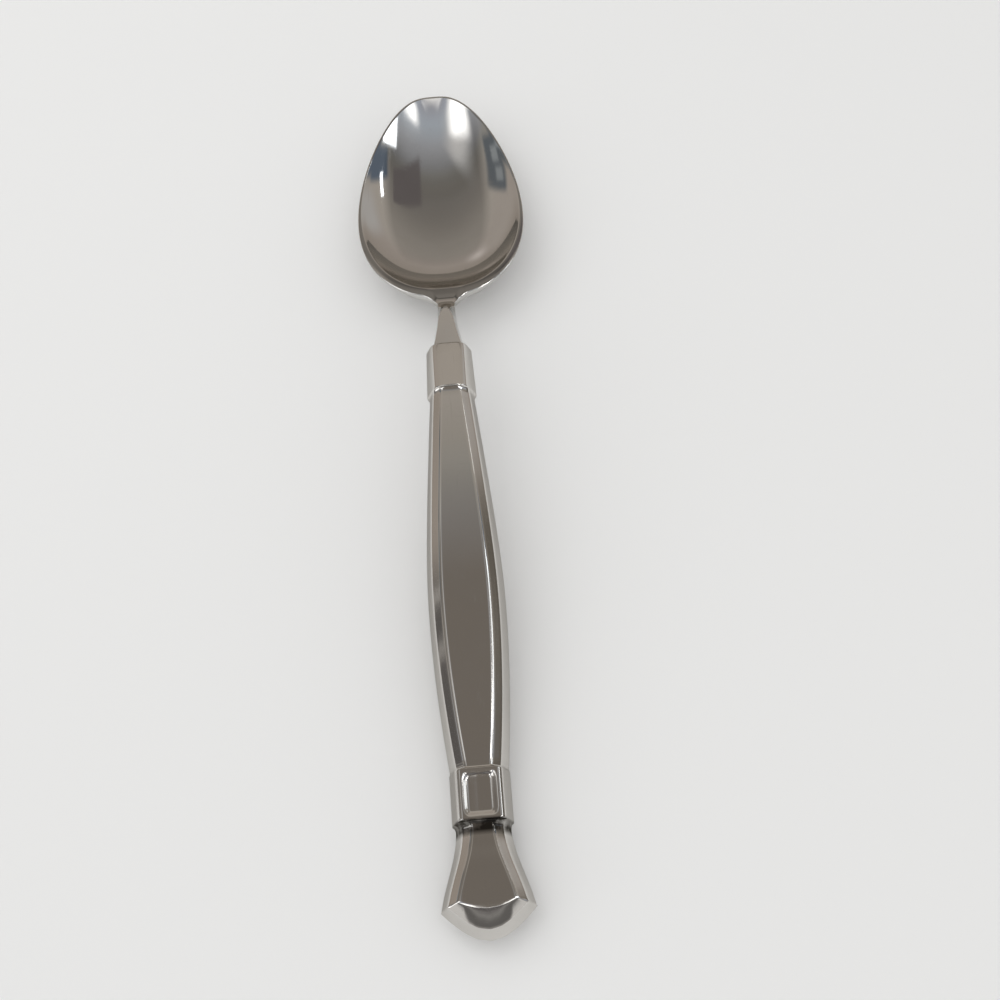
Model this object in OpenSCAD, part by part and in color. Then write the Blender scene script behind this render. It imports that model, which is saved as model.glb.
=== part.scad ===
// Teaspoon with a hollow, facetted handle.
// The bowl, neck and tang are one forging. Two stamped half shells make the handle: they meet on a
// seam round its edge, where solder holds them, and cement inside them holds the tang.
// The spoon lies on a table at z = 0, with its bowl towards +Y and the middle of its length at y = 0.

/* [Bowl] */
// Length from the shoulder at the neck to the tip
bowl_length = 48; // [42:0.1:56]
// Width across the widest part
bowl_width = 31.2; // [26:0.1:36]
// Depth of the hollow below the rim
bowl_depth = 6; // [4.5:0.1:8]
// Metal left under the hollow
bowl_wall = 2; // [1:0.05:2.5]
// How much fuller the bowl is towards the neck than towards the tip
bowl_taper = 0.22; // [0.05:0.01:0.3]
// Rise of the rim's two ends above its middle
rim_sheer = 0.7; // [0:0.1:1.5]
// Width of the rim beside the hollow, next to the neck
rim_width = 0.95; // [0.6:0.05:1.4]
// Width of the rim from the bowl's middle to its tip
side_rim = 0.4; // [0.3:0.05:0.9]
// Width of the rim at the tip
tip_rim = 0.45; // [0.3:0.05:1]
// Width of the rim at the neck
heel_rim = 1.6; // [1:0.05:2.4]
// Height of the rim's outer edge
rim_edge = 0.8; // [0.5:0.05:1.2]
// Size of the fillet where the bowl's outline runs into the neck
shoulder_fillet = 0.55; // [0.3:0.05:1.5]

/* [Neck] */
// Length from the mouth of the handle to the bowl
neck_length = 15; // [12:0.1:20]
// Width where the neck enters the handle
neck_width = 6; // [5.4:0.1:7]
// Thickness where the neck enters the handle
neck_thickness = 5.2; // [4.4:0.1:6]
// Width at the narrowest place
waist_width = 2.6; // [2.6:0.1:4]
// Thickness at the narrowest place
waist_thickness = 2.7; // [2.2:0.1:3.4]
// Size of the bevels along the neck's edges
neck_bevel = 0.6; // [0.3:0.05:0.8]
// Length of the crank that lowers the neck to the bowl's rim
crank_length = 7.2; // [6:0.1:9]
// Distance from the foot of the crank to the bowl
crank_foot = 0.8; // [0:0.1:2]
// Length over which the neck's section turns into the bowl's
heel_blend = 8; // [6:0.5:10]
// Length that the neck's ridge runs on into the bowl
ridge_length = 12; // [8:0.5:16]

/* [Tang] */
// Length inside the handle
tang_length = 46; // [36:0.5:54]
// Width of the tang
tang_width = 3.2; // [2.8:0.1:3.6]
// Thickness of the tang
tang_thickness = 2.6; // [2:0.1:3]
// Size of the bevels along the tang's edges
tang_bevel = 0.45; // [0.2:0.05:0.6]
// Length of the tapered point
tang_point = 1.6; // [1:0.1:2.2]
// Number of notch pairs that key the tang into the cement
notch_count = 3; // [1:1:4]
// Depth of a notch
notch_depth = 0.45; // [0.2:0.05:0.6]
// Length of a notch
notch_length = 2.2; // [1.4:0.1:3]
// Distance between notches
notch_pitch = 9; // [6:0.5:10]

/* [Ferrule] */
// Length of the collar round the neck
ferrule_length = 9.2; // [7:0.1:12]
// Width at the end next to the grip
ferrule_width = 8.7; // [8.2:0.1:10]
// Thickness at the end next to the grip
ferrule_thickness = 8.6; // [8:0.1:9.4]
// Thickness of the lip round the neck
mouth_lip = 0.65; // [0.4:0.05:0.9]
// Length of the lip
lip_length = 1.2; // [0.8:0.1:2]
// Length of the cove between the collar and the grip
ferrule_cove = 1; // [0.6:0.1:1.6]

/* [Grip] */
// Length from the band to the collar
grip_length = 64.6; // [56:0.1:74]
// Width across the belly
grip_width = 12.8; // [11:0.1:15]
// Width at the collar
grip_top_width = 7.7; // [7.4:0.1:9]
// Width at the band
grip_foot_width = 9.4; // [8.6:0.1:11]
// Distance of the belly from the band
belly_place = 27.5; // [22:0.5:34]
// Thickness across the belly
grip_thickness = 8.5; // [7.6:0.1:9.4]
// Thickness at both ends of the grip
grip_end_thickness = 7.6; // [7:0.1:8.4]
// Width that the side facets lean in
side_lean = 1.15; // [0.9:0.05:1.4]
// Width of the bevels beside the front and back facets
bevel_width = 1.5; // [1:0.05:1.8]
// Height of the bevels
bevel_height = 1.35; // [1.1:0.05:1.8]

/* [Band] */
// Length of the raised band
band_length = 7.9; // [6:0.1:10]
// Width of the band
band_width = 9.7; // [9:0.1:11]
// Thickness of the band
band_thickness = 8.2; // [7.8:0.1:9]
// Width of the frame round the sunk panel
band_frame = 0.6; // [0.4:0.05:0.9]
// Size of the bevels along the frame
band_bevel = 0.5; // [0.3:0.05:0.6]
// Depth of the sunk panel
panel_depth = 0.4; // [0.2:0.05:0.5]
// Length of the steps at the band's two ends
band_step = 0.45; // [0.3:0.05:0.8]

/* [Finial] */
// Length from the end of the handle to the band
finial_length = 17.3; // [14:0.1:21]
// Width across the end corners
finial_width = 14.6; // [12:0.1:17]
// Width of the throat below the band
throat_width = 8.8; // [8:0.1:9.6]
// Thickness across the front and back facets
finial_thickness = 7.8; // [7.2:0.1:8.2]
// Thickness of the throat
throat_thickness = 7; // [6.6:0.1:7.6]
// Length of the cove between the throat and the band
throat_cove = 1; // [0.8:0.1:1.8]
// How far the end curve stands past its two corners
end_crown = 4.6; // [3:0.1:6]
// Length of the end facet next to the seam
end_facet = 1.4; // [1:0.1:2]
// Length of the bevel between the end facet and the front facet
end_bevel = 2.95; // [2:0.05:3.4]
// How far the bevel's corners stand back from the seam's corners
corner_step = 0.2; // [0.1:0.05:0.4]
// How far the front facet's corners stand back from the seam's corners
facet_step = 0.6; // [0.5:0.05:1]

/* [Handle line] */
// Length of the flat stretch that rests on the table
rest_length = 9; // [7:0.5:12]
// Rise of the seam from the rest to the neck
seam_rise = 8.5; // [6:0.5:11]

/* [Shells] */
// Wall of the stamped half shells
shell_wall = 0.7; // [0.5:0.05:0.8]
// Gap round the neck in the mouth
mouth_gap = 0.06; // [0.03:0.01:0.12]
// Width of the solder bead past the lean of the walls that it joins
bead_width = 0.3; // [0.2:0.05:0.5]
// Height of the solder bead to each side of the seam
bead_height = 0.45; // [0.3:0.05:0.6]
// Gap left between the filling pieces and the metal round them
fill_gap = 0.05; // [0.02:0.01:0.1]
// Length of the cement past the end of the tang
cement_cap = 3; // [1:0.5:5]

/* [Hidden] */

// Places along the spoon, measured from the end of the handle
throat = finial_length - throat_cove;
band_end = finial_length + band_length;
ferrule_start = band_end + grip_length;
mouth = ferrule_start + ferrule_length;
shoulder = mouth + neck_length;
overall_length = shoulder + bowl_length;
belly = band_end + belly_place;
tang_end = mouth - tang_length;
lip_start = mouth - lip_length;

// Counts of rings and points
bowl_rings = 30;
neck_rings = 20;
cross_steps = 14;
grip_rings = 16;
finial_rings = 6;
cove_rings = 4;
ferrule_rings = 4;
outline_samples = 200;

// Curve settings: how tightly each sweep of the outline turns, how full the tip is and over which share of
// the bowl, how little of it is cut flat, and the share of the bowl over which the rim narrows
tip_blunt = 0.02;
tip_fullness = 1.2;
tip_share = 0.03;
rim_share = 0.62;
outline_power = 0.485;
hollow_swell = 0.4;
cross_swell = 0.2;
underside_share = 0.94;
flare_power = 1.5;
belly_round_up = 11;
belly_round_down = 40;
end_round = 7;
front_power = 3;
neck_taper_power = 2.2;
neck_taper_reach = 0.85;

// Shares of a plain facet's half width at which the section has points, and of the closed end's
facet_shares = [0.7, 0.45];
end_shares = [0.8, 0.55, 0.3];

// Basic curves
function mix(a, b, t) = a + (b - a) * t;
function clamp(t) = min(1, max(0, t));
function ease(t) = let (c = clamp(t)) c * c * (3 - 2 * c);
function flare(t) = (pow(clamp(t), flare_power) + ease(t)) / 2;
function sweep(d, reach, turn) =
    (sqrt(d * d + turn * turn) - turn) / (sqrt(reach * reach + turn * turn) - turn);

// Height of the seam above the table at a place along the handle, which rests on its finial
function seam_lift(s) = seam_rise * ease((s - rest_length) / (mouth - rest_length));
rest_z = max(finial_thickness / 2, band_thickness / 2 - seam_lift(finial_length));
function seam_z(s) = rest_z + seam_lift(s);

// Outline of the bowl as a share of its half width, softened into the neck
function bowl_u(s) = 2 * (s - shoulder) / (bowl_length + tip_blunt) - 1;
function soft(t) = (t + norm([t, 2 * shoulder_fillet / bowl_length])) / 2;
function full(t) = max(0, t * (1 + tip_fullness * exp(-t / tip_share)));
function raw_outline(u) = pow(full(1 - u) * soft(1 + u), outline_power) * (1 - bowl_taper * u);
outline_peak = max([for (i = [0 : outline_samples]) raw_outline(2 * i / outline_samples - 1)]);
function outline(s) = raw_outline(bowl_u(s)) / outline_peak;

// Depth of the hollow along the middle, and its shape across
function hollow(s) = let (f = pow(outline(s), 2)) bowl_depth * f * (1 + hollow_swell * (1 - f));
function across(t) = (1 - t * t) * (1 + cross_swell * t * t);

// The rim stands at the height that sets the bowl's underside on the table
function sheer(s) = rim_sheer * pow(min(1, max(-1, bowl_u(s))), 2);
underside_low = min([for (i = [0 : outline_samples])
    let (s = shoulder + bowl_length * i / outline_samples) sheer(s) - hollow(s) - bowl_wall]);
function rim_z(s) = sheer(s) - underside_low;

// The neck: its share of forging, taper, top line and section
neck_top = seam_z(mouth) + neck_thickness / 2;
function neckness(s) = ease((shoulder + heel_blend / 2 - s) / heel_blend);
function neck_taper(s) =
    pow(max(0, 1 - max(0, s - mouth) / neck_length / neck_taper_reach), neck_taper_power);
function neck_fade(s) = 1 - ease((s - shoulder) / ridge_length);
function neck_half(s) = mix(waist_width, neck_width, neck_taper(s)) / 2 * neck_fade(s);
function neck_deep(s) = mix(waist_thickness, neck_thickness, neck_taper(s));
function top_z(s) = mix(rim_z(s), neck_top, ease((shoulder - crank_foot - s) / crank_length));
function rim_at(s) = mix(rim_width, side_rim, ease((s - shoulder) / (rim_share * bowl_length)));

// One ring of the forging, clockwise seen from the handle's end: the top from left to right, then
// the underside from right to left. The hollow's edge may lead or trail the outer edge.
function forged_ring(s, s_top, half, top_half, z, z_top, dip, bevel, side, deep, flat) =
    let (
        low_half = mix(underside_share * half, top_half, flat),
        top = [for (i = [0 : cross_steps]) let (t = 2 * i / cross_steps - 1)
            [top_half * t, s_top, z_top - dip * across(t)]],
        low = [for (i = [cross_steps : -1 : 0]) let (t = 2 * i / cross_steps - 1, x = low_half * t)
            [x, mix(s_top, s, abs(t)),
             z - bevel - side - (deep - bevel - side) * mix(across(x / half), 1, flat)]]
    )
    concat([[-half, s, z - bevel]], top, [[half, s, z - bevel], [half, s, z - bevel - side]],
           low, [[-half, s, z - bevel - side]]);

// Rings of the bowl and neck
function lead(s) = s > shoulder ? mix(heel_rim, -tip_rim, (s - shoulder) / bowl_length)
                                : heel_rim * ease(1 - (shoulder - s) / heel_blend);
function spoon_ring(s) =
    let (n = neckness(s), deep = neck_deep(s), swell = outline(s))
    forged_ring(s, s + lead(s),
        norm([bowl_width / 2 * swell, neck_half(s)]),
        norm([(bowl_width / 2 - rim_at(s)) * swell, neck_half(s) - neck_bevel * neck_fade(s)]),
        top_z(s), top_z(s + lead(s)), hollow(s), neck_bevel * n,
        mix(rim_edge, deep - 2 * neck_bevel, n), hollow(s) + mix(bowl_wall, deep, n), n);

// Rings of a bar of octagon section that follows the seam: the tang, and the neck in the lip
function bar_ring(s, width, thick, bevel) =
    forged_ring(s, s, width / 2, width / 2 - bevel, seam_z(s) + thick / 2, seam_z(s) + thick / 2,
                0, bevel, thick - 2 * bevel, thick, 1);

// Places and widths along the tang, notched in pairs. Each entry is a place and a width.
tang_shoulder = lip_start - mouth_lip;
function notch_place(k) = tang_end + tang_point + notch_length + k * notch_pitch;
tang_steps = concat(
    [[tang_end, tang_width - tang_point], [tang_end + tang_point, tang_width]],
    [for (k = [0 : notch_count - 1], step = [[0, 0], [notch_depth, 1], [notch_depth + notch_length, 1],
        [2 * notch_depth + notch_length, 0]])
        [notch_place(k) + step[0], tang_width - 2 * notch_depth * step[1]]],
    [[mix(notch_place(notch_count), tang_shoulder, 0.5), tang_width], [tang_shoulder, tang_width]]);

// Section of the handle on one side of the seam, as eight sizes: half widths at the seam, the
// bevel's outer edge, the facet's edge, the frame's edge and the panel's edge, then the heights of
// the bevel's outer edge and the facet, and the panel's depth. The last value rounds the front.
function facetted(half, high, lean, bevel, drop) =
    let (edge = half - lean, facet = edge - bevel)
    [half, edge, facet, each facet_shares * facet, high - drop, high, 0, 0];
function finial_half(s) = mix(throat_width, finial_width, flare((throat - s) / (throat - end_crown))) / 2;
function finial_section(s) =
    let (t = ease((s - rest_length) / (throat - rest_length)))
    facetted(finial_half(s), mix(finial_thickness, throat_thickness, t) / 2, side_lean,
             bevel_width, bevel_height);
function band_section(sunk) =
    let (edge = band_width / 2 - side_lean, facet = edge - band_bevel, frame = facet - band_frame)
    [band_width / 2, edge, facet, frame, frame - panel_depth,
     band_thickness / 2 - band_bevel, band_thickness / 2, panel_depth * sunk, 0];
band_core = facetted(band_width / 2, band_thickness / 2 - panel_depth, side_lean, bevel_width, bevel_height);
function grip_section(s) =
    let (
        up = s > belly,
        reach = up ? ferrule_start - belly : belly - band_end,
        t = sweep(s - belly, reach, up ? belly_round_up : belly_round_down)
    )
    facetted(mix(grip_width, up ? grip_top_width : grip_foot_width, t) / 2,
             mix(grip_thickness, grip_end_thickness, t) / 2, side_lean, bevel_width, bevel_height);
mouth_half = neck_width / 2 + mouth_gap + mouth_lip;
mouth_high = neck_thickness / 2 + mouth_gap + mouth_lip;
mouth_lean = mouth_lip / 2;
function ferrule_section(s) =
    let (
        t = (s - ferrule_start) / ferrule_length,
        q = facetted(mix(ferrule_width / 2, mouth_half, t), mix(ferrule_thickness / 2, mouth_high, t),
                     mix(side_lean, mouth_lean, t), bevel_width,
                     mix(bevel_height, neck_bevel + mouth_lean, t))
    )
    concat([for (i = [0 : 7]) q[i]], [1]);
mouth_section =
    let (half = neck_width / 2 + mouth_gap, high = neck_thickness / 2 + mouth_gap, facet = half - neck_bevel)
    [half, half, facet, each facet_shares * facet, high - neck_bevel, high, 0, 0];

// The same section moved in by a wall
function moved_in(q, wall) =
    let (
        side = [q[5], q[0] - q[1]] / norm([q[5], q[0] - q[1]]),
        bevel = [q[6] - q[5], q[1] - q[2]] / norm([q[6] - q[5], q[1] - q[2]]),
        a = side * [q[0], 0] - wall,
        b = bevel * [q[1], q[5]] - wall,
        det = side[0] * bevel[1] - side[1] * bevel[0],
        high = q[6] - q[7] - wall,
        facet = (b - bevel[1] * high) / bevel[0]
    )
    [a / side[0], (a * bevel[1] - b * side[1]) / det, facet, each facet_shares * facet,
     (side[0] * b - bevel[0] * a) / det, high, 0, q[8]];

// Points of half a section, from the seam to the middle
function front_high(q, x) =
    let (flat = x > q[2] ? mix(q[6], q[5], (x - q[2]) / (q[1] - q[2])) : q[6],
         round = q[6] - (q[6] - q[5]) * pow(x / q[1], front_power))
    mix(flat, round, q[8]);
function half_points(q) = concat([[q[0], 0], [q[1], q[5]]],
    [for (x = [(q[1] + q[2]) / 2, q[2], q[3]]) [x, front_high(q, x)]],
    [for (x = [q[4], 0]) [x, front_high(q, x) - q[7]]]);

// A curve across the handle, from the left seam to the right. Its middle may stand past its sides,
// which are the points further out than the corner.
function crossing(q, s, crown, corner) =
    let (
        half = half_points(q),
        full = concat([for (i = [0 : 6]) [-half[i][0], half[i][1]]], [for (i = [5 : -1 : 0]) half[i]])
    )
    [for (p = full) [p[0], s - crown * (1 - min(1, sweep(p[0], corner, end_round))), p[1]]];
function straight(q, s) = crossing(q, s, 0, 1);
function ledge_q(half, edge, high) = [half, edge, each end_shares * edge, high, high, 0, 0];
function seam_q(half) = ledge_q(half, end_shares[0] * half, 0);

// The three crossings that close the finial: the seam's end curve, the bevel's edge and the facet's
// edge, for the outside and, moved in by the wall, for the inside
bevel_corner = end_crown + corner_step;
bevel_crown = bevel_corner - end_facet;
facet_corner = end_crown + facet_step;
facet_crown = facet_corner - end_facet - end_bevel;
bevel_q = finial_section(bevel_corner);
outer_q = finial_section(facet_corner);
inner_q = moved_in(outer_q, shell_wall);
end_outside = [
    crossing(seam_q(finial_half(end_crown)), end_crown, end_crown, finial_half(end_crown)),
    crossing(ledge_q(bevel_q[0], bevel_q[1], bevel_q[5]), bevel_corner, bevel_crown, bevel_q[1]),
    crossing(outer_q, facet_corner, facet_crown, outer_q[2])];
end_inside = [
    crossing(seam_q(inner_q[0]), end_crown + shell_wall, end_crown - shell_wall, inner_q[0]),
    crossing(ledge_q(inner_q[0], inner_q[1], inner_q[5]), bevel_corner + shell_wall, bevel_crown, inner_q[1]),
    crossing(inner_q, facet_corner + shell_wall, facet_crown, inner_q[2])];

// Stations of the handle from the finial to the mouth. Each entry is a place and the two sections,
// outside and inside. A cove drops from a high station to a low one in a quarter round.
function station(s, q) = [s, q, moved_in(q, shell_wall)];
function band_station(s, sunk) = [s, band_section(sunk), moved_in(band_core, shell_wall)];
function cove(high, low) = [for (i = [1 : cove_rings - 1]) let (a = 90 * i / cove_rings)
    [mix(high[0], low[0], 1 - cos(a)), mix(high[1], low[1], sin(a)), mix(high[2], low[2], sin(a))]];
function spread(from, to, count) = [for (i = [0 : count]) mix(from, to, i / count)];
function back_to_front(v) = [for (i = [len(v) - 1 : -1 : 0]) v[i]];
panel_start = finial_length + band_frame;
panel_end = band_end - band_frame;
foot = band_end + band_step;
top = ferrule_start - ferrule_cove;
finial_stations = [for (s = concat(facet_corner + 2 * shell_wall, spread(rest_length, throat, finial_rings)))
    station(s, finial_section(s))];
band_stations = [for (step = [[finial_length, 0], [panel_start, 0], [panel_start + panel_depth, 1],
                              [panel_end - panel_depth, 1], [panel_end, 0], [band_end, 0]])
    band_station(step[0], step[1])];
grip_stations = [for (s = spread(foot, top, grip_rings)) station(s, grip_section(s))];
ferrule_stations = [for (s = spread(ferrule_start, tang_shoulder, ferrule_rings))
    station(s, ferrule_section(s))];
stations = concat(
    finial_stations,
    back_to_front(cove(band_stations[0], station(throat, finial_section(throat)))),
    band_stations,
    cove(band_station(band_end, 0), grip_stations[0]),
    grip_stations,
    back_to_front(cove(ferrule_stations[0], station(top, grip_section(top)))),
    ferrule_stations,
    [for (s = [lip_start, mouth]) [s, ferrule_section(s), mouth_section]]);

// Rings of a half shell: outside from left to right, then inside from right to left
shell_rings = concat(
    [for (k = [0 : 2]) concat(end_outside[k], back_to_front(end_inside[k]))],
    [for (st = stations) concat(straight(st[1], st[0]), back_to_front(straight(st[2], st[0])))]);

// A solid through rings that run towards +Y, each clockwise seen from the handle's end. Its two
// ends are closed by strips between the first and the second half of a ring.
module loft(rings) {
    n = len(rings[0]);
    last = (len(rings) - 1) * n;
    half = n / 2;
    polyhedron(
        points = [for (ring = rings, p = ring) p],
        faces = concat(
            [for (r = [0 : len(rings) - 2], i = [0 : n - 1])
                let (a = r * n + i, b = r * n + (i + 1) % n) each [[a, a + n, b + n], [a, b + n, b]]],
            [for (i = [0 : half - 2]) each [[i, i + 1, n - 2 - i], [i, n - 2 - i, n - 1 - i]]],
            [for (i = [0 : half - 2])
                each [[last + i, last + n - 2 - i, last + i + 1],
                      [last + i, last + n - 1 - i, last + n - 2 - i]]]));
}

// Height above the table of a point that is given from the seam
function raised(rings, way) = [for (ring = rings) [for (p = ring) [p[0], p[1], seam_z(p[1]) + way * p[2]]]];
module from_middle() translate([0, -overall_length / 2, 0]) children();

// Bowl, neck and tang, forged in one piece
module bowl_and_tang() {
    color("silver") from_middle() loft(concat(
        [for (step = tang_steps) bar_ring(step[0], step[1], tang_thickness, tang_bevel)],
        [for (s = [lip_start, mouth]) bar_ring(s, neck_width, neck_thickness, neck_bevel)],
        [for (i = [1 : neck_rings - 1]) spoon_ring(mix(mouth, shoulder, i / neck_rings))],
        [for (a = spread(0, 180, bowl_rings)) spoon_ring(shoulder + bowl_length * (1 - cos(a)) / 2)]));
}

// Front half of the handle, stamped with the collar, grip, band and finial
module front_shell() {
    color("gainsboro") from_middle() loft(raised(shell_rings, 1));
}

// Back half, the same stamping turned over
module back_shell() {
    color("lightgray") from_middle()
        loft([for (ring = raised(shell_rings, -1)) back_to_front(ring)]);
}

// Solder bead inside the seam, down one side, round the finial's end and up the other side. It cuts
// the two corners at the finial's end.
end_last = len(end_inside[0]) - 1;
seam_line = concat(
    [for (i = [len(stations) - 3 : -1 : 0]) [-stations[i][2][0], stations[i][0]]],
    [for (i = [0 : end_last]) let (p = end_inside[i == 0 || i == end_last ? 1 : 0][i]) [p[0], p[1]]],
    [for (i = [0 : len(stations) - 3]) [stations[i][2][0], stations[i][0]]]);
wall_lean = max(side_lean, end_facet) / (throat_thickness / 2 - bevel_height);
bead_clear = 2 * fill_gap + wall_lean * bead_height;
bead_reach = bead_clear + bead_width;
function unit(v) = v / norm(v);
function seam_run(i) = let (k = min(len(seam_line) - 2, max(0, i))) unit(seam_line[k + 1] - seam_line[k]);
function seam_way(i) =
    let (before = seam_run(i - 1), along = unit(before + seam_run(i)))
    [-along[1], along[0]] / (along * before);
function bead_ring(i) =
    let (p = seam_line[i], way = seam_way(i))
    [for (q = [[fill_gap, 0], [bead_clear, -bead_height], [bead_reach, 0], [bead_clear, bead_height]])
        let (xy = p + way * q[0]) [xy[0], xy[1], seam_z(xy[1]) + q[1]]];
module seam_solder() {
    color("darkgray") from_middle() loft([for (i = [0 : len(seam_line) - 1]) bead_ring(i)]);
}

// Cement round the tang, clear of the solder where the handle is narrowest nearby. Strips across a
// ring close its ends.
function narrowest(s) = min([for (st = stations) if (abs(st[0] - s) <= ferrule_cove) st[2][0]]);
function ring_of(half) = concat(
    [for (i = [0 : 2]) [-half[i][0], half[i][1]]], [for (i = [2 : -1 : 0]) half[i]],
    [for (i = [1, 2]) [half[i][0], -half[i][1]]], [for (i = [2, 1]) [-half[i][0], -half[i][1]]]);
function cement_ring(st) =
    let (
        q = moved_in(st[2], fill_gap),
        half = min(st[2][0], narrowest(st[0])) - bead_reach - 2 * fill_gap,
        facet = min(half, q[2])
    )
    [for (p = ring_of([[half, 0], [min(half, q[1]), q[5]], [facet, front_high(q, facet)]]))
        [p[0], st[0], seam_z(st[0]) + p[1]]];
function socket_ring(s, width) =
    let (half = width / 2 + fill_gap, high = tang_thickness / 2 + fill_gap)
    [for (p = ring_of([[half, 0], [half, high - tang_bevel], [half - tang_bevel, high]]))
        [p[0], s, seam_z(s) + p[1]]];
function cap(base, n) = [for (j = [-2 : 1])
    [for (i = [j, j + 1, n / 2 - 1 - j, n / 2 - j]) base + (i + n) % n]];
module tang_cement() {
    cement_start = tang_end - cement_cap;
    cement_front = tang_shoulder - fill_gap;
    outer = [for (st = concat([station(cement_start, grip_section(cement_start))],
                 [for (st = stations) if (st[0] > cement_start && st[0] < cement_front) st],
                 [station(cement_front, ferrule_section(cement_front))])) cement_ring(st)];
    inner = [for (step = concat([[tang_end - fill_gap, tang_steps[0][1]]],
                 [for (i = [1 : len(tang_steps) - 2]) tang_steps[i]],
                 [[cement_front, tang_width]])) socket_ring(step[0], step[1])];
    n = len(outer[0]);
    base = len(outer) * n;
    last = base - n;
    rim = base + (len(inner) - 1) * n;
    color("dimgray") from_middle() polyhedron(
        points = [for (ring = concat(outer, inner), p = ring) p],
        faces = concat(
            cap(0, n),
            [for (r = [0 : len(outer) - 2], i = [0 : n - 1])
                let (a = r * n + i, b = r * n + (i + 1) % n) each [[a, a + n, b + n], [a, b + n, b]]],
            [for (strip = cap(base, n)) back_to_front(strip)],
            [for (r = [0 : len(inner) - 2], i = [0 : n - 1])
                let (a = base + r * n + i, b = base + r * n + (i + 1) % n)
                each [[a, b + n, a + n], [a, b, b + n]]],
            [for (i = [0 : n - 1]) let (j = (i + 1) % n)
                each [[last + i, rim + i, rim + j], [last + i, rim + j, last + j]]]));
}

bowl_and_tang();
front_shell();
back_shell();
seam_solder();
tang_cement();
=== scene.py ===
import math

import bmesh
import bpy
from mathutils import Matrix, Vector


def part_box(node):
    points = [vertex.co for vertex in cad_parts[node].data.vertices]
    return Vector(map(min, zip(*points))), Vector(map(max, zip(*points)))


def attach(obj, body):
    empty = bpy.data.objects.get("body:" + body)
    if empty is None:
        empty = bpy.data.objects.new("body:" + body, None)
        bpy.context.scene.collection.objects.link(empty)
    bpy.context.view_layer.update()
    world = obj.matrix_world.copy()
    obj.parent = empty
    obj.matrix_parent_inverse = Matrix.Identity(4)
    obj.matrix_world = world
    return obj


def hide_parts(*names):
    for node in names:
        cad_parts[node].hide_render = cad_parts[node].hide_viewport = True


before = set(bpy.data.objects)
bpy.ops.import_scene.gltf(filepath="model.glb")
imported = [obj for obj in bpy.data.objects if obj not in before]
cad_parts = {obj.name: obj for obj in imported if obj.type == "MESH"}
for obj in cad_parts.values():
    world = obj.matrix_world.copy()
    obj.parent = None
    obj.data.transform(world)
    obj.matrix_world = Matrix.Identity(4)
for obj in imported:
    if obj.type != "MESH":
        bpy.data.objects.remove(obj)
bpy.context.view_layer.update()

# Bowl, neck and tang
# One forging of stainless steel. The bowl is coined hollow with a narrow flat rim, the neck cranks up
# to the handle, and a notched tang runs on inside it. What shows is polished to a mirror.
# Lengths are in millimetres, and places are measured along the frame's Y.
mm = 0.001
forging_low, forging_high = [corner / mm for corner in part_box("bowl_and_tang")]
shell_low, shell_high = [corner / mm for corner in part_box("front_shell")]
handle_end = shell_low.y
mouth = shell_high.y
tip = forging_high.y
tang_end = forging_low.y

clearance = 0.002
bowl_half = forging_high.x - clearance
bowl_length = 48
bowl_depth = 6
bowl_wall = 2
bowl_taper = 0.22
rim_sheer = 0.7
heel_width = 0.95
side_width = 0.4
rim_narrowing = 1.6
tip_rim = 0.45
heel_rim = 1.6
rim_edge = 0.6
edge_wall = 0.95
shoulder_fillet = 0.55
tip_power = 0.375
tip_fullness = 0.35
tip_share = 0.02
heel_power = 0.456
heel_fillet = 0.25
heel_start = 0.2
outline_taper = 0.31
hollow_power = 0.485
hollow_swell = 0.4
cross_swell = 0.2
underside_share = 0.94
shoulder = tip - bowl_length

neck_length = shoulder - mouth
neck_half = 3.0
neck_thickness = 5.2
waist_half = 1.45
heel_web = 1.9
web_length = 2.4
web_power = 1.5
web_fade = 4
waist_thickness = 2.7
least_side = 0.4
least_belly = 0.3
neck_bevel = 0.6
neck_crown = 0.15
crank_foot = shoulder - 2
crank_bend = 1.5
crank_slope = 1.25
flank_round = 1.5
flank_rise = 7
tongue_tip = shoulder - 7
tongue_fade = 4
tongue_round = 0.25
heel_blend = 8
heel_turn = 3
sole_rise = 11
ridge_length = 12
taper_power = 2.2
taper_reach = 0.85

rest_length = 9
rest_height = 3.9
seam_rise = 8.5


def mix(a, b, share):
    return a + (b - a) * share


def clamp(share):
    return min(1, max(0, share))


def ease(share):
    return clamp(share) ** 2 * (3 - 2 * clamp(share))


def seam_height(y):
    """Height of the seam between the handle's two shells, which the tang follows."""
    return rest_height + seam_rise * ease((y - handle_end - rest_length) / (mouth - handle_end - rest_length))


def bowl_share(y):
    return 2 * (y - shoulder) / bowl_length - 1


def softened(share, fillet):
    """Distance from the shoulder as a share of half the bowl, running out in a fillet."""
    return (1 + share + math.hypot(1 + share, 2 * fillet / bowl_length)) / 2


def raw_outline(share):
    blunt = max(0, (1 - share) * (1 + tip_fullness * math.exp((share - 1) / tip_share)))
    heel = softened(share - 2 * heel_start / bowl_length, heel_fillet)
    return blunt ** tip_power * heel ** heel_power * (1 - outline_taper * share)


def raw_hollow(share):
    return (max(0, 1 - share) * softened(share, shoulder_fillet)) ** hollow_power * (1 - bowl_taper * share)


outline_peak = max(raw_outline(k / 100 - 1) for k in range(201))
hollow_peak = max(raw_hollow(k / 100 - 1) for k in range(201))


def outline(y):
    return raw_outline(bowl_share(y)) / outline_peak


def fullness(y):
    """The hollow's depth as a share of its deepest, before it swells toward the ends."""
    return (raw_hollow(bowl_share(y)) / hollow_peak) ** 2


def hollow(y):
    return bowl_depth * fullness(y) * (1 + hollow_swell * (1 - fullness(y)))


def across(t):
    """Share of the depth across the bowl, from edge to edge at -1 and 1."""
    return (1 - t * t) * (1 + cross_swell * t * t)


def sheer(y):
    """How far the rim rises toward the tip and the heel."""
    return rim_sheer * min(1, abs(bowl_share(y))) ** 2


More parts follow.
